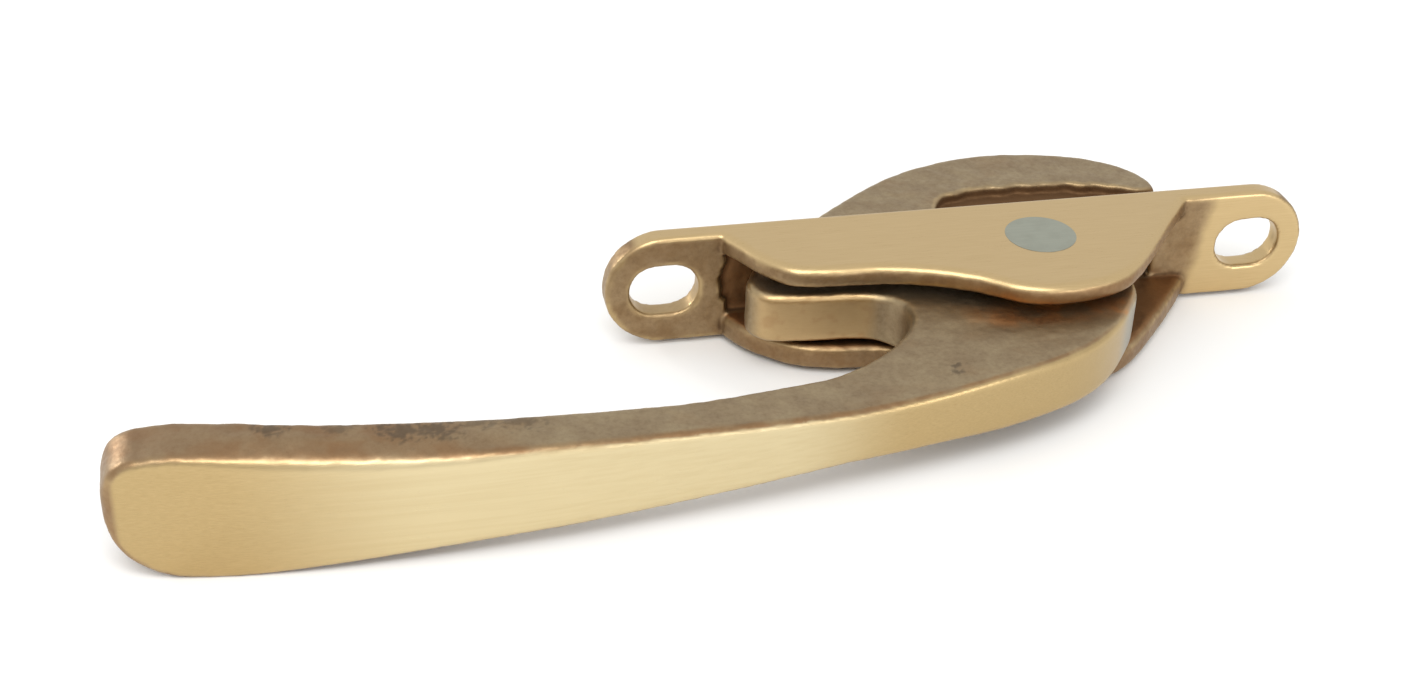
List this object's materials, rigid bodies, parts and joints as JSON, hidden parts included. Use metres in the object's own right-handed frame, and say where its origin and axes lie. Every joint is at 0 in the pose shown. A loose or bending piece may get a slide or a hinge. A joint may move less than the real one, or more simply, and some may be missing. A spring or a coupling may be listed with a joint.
{
  "type": "casement locking handle",
  "caption": "Cast bronze casement handle: a long grip lever with a cam turns on a riveted pin between the flanges of a slotted mounting bracket.",
  "frame": {"origin": "middle of the mounting plate's back face, at mid height", "axes": "+X along the mounting plate towards the ear beside the pin, +Y out of the plate's back and through the window, +Z along the pin"},
  "size_m": [0.1304, 0.0534, 0.0136],
  "materials": {
    "bracket_bronze": "cast bronze, belt brushed on its upper face and right ear, dull as cast elsewhere",
    "lever_bronze": "cast bronze, brushed along its front face, dull brown as cast elsewhere",
    "pin_steel": "grey steel ground flush",
    "washer_brass": "tarnished sheet brass"
  },
  "bodies": {
    "bracket": {"bracket": "bracket_bronze", "pivot_pin": "pin_steel", "upper_washer": "washer_brass", "spring_washer": "washer_brass"},
    "lever": {"lever": "lever_bronze"}
  },
  "joints": [
    {"name": "handle_pivot", "type": "hinge", "parent": "bracket", "child": "lever", "pos_m": [0.0063, -0.0076, 0], "axis": [0, 0, 1], "range_deg": [-2, 100]}
  ]
}
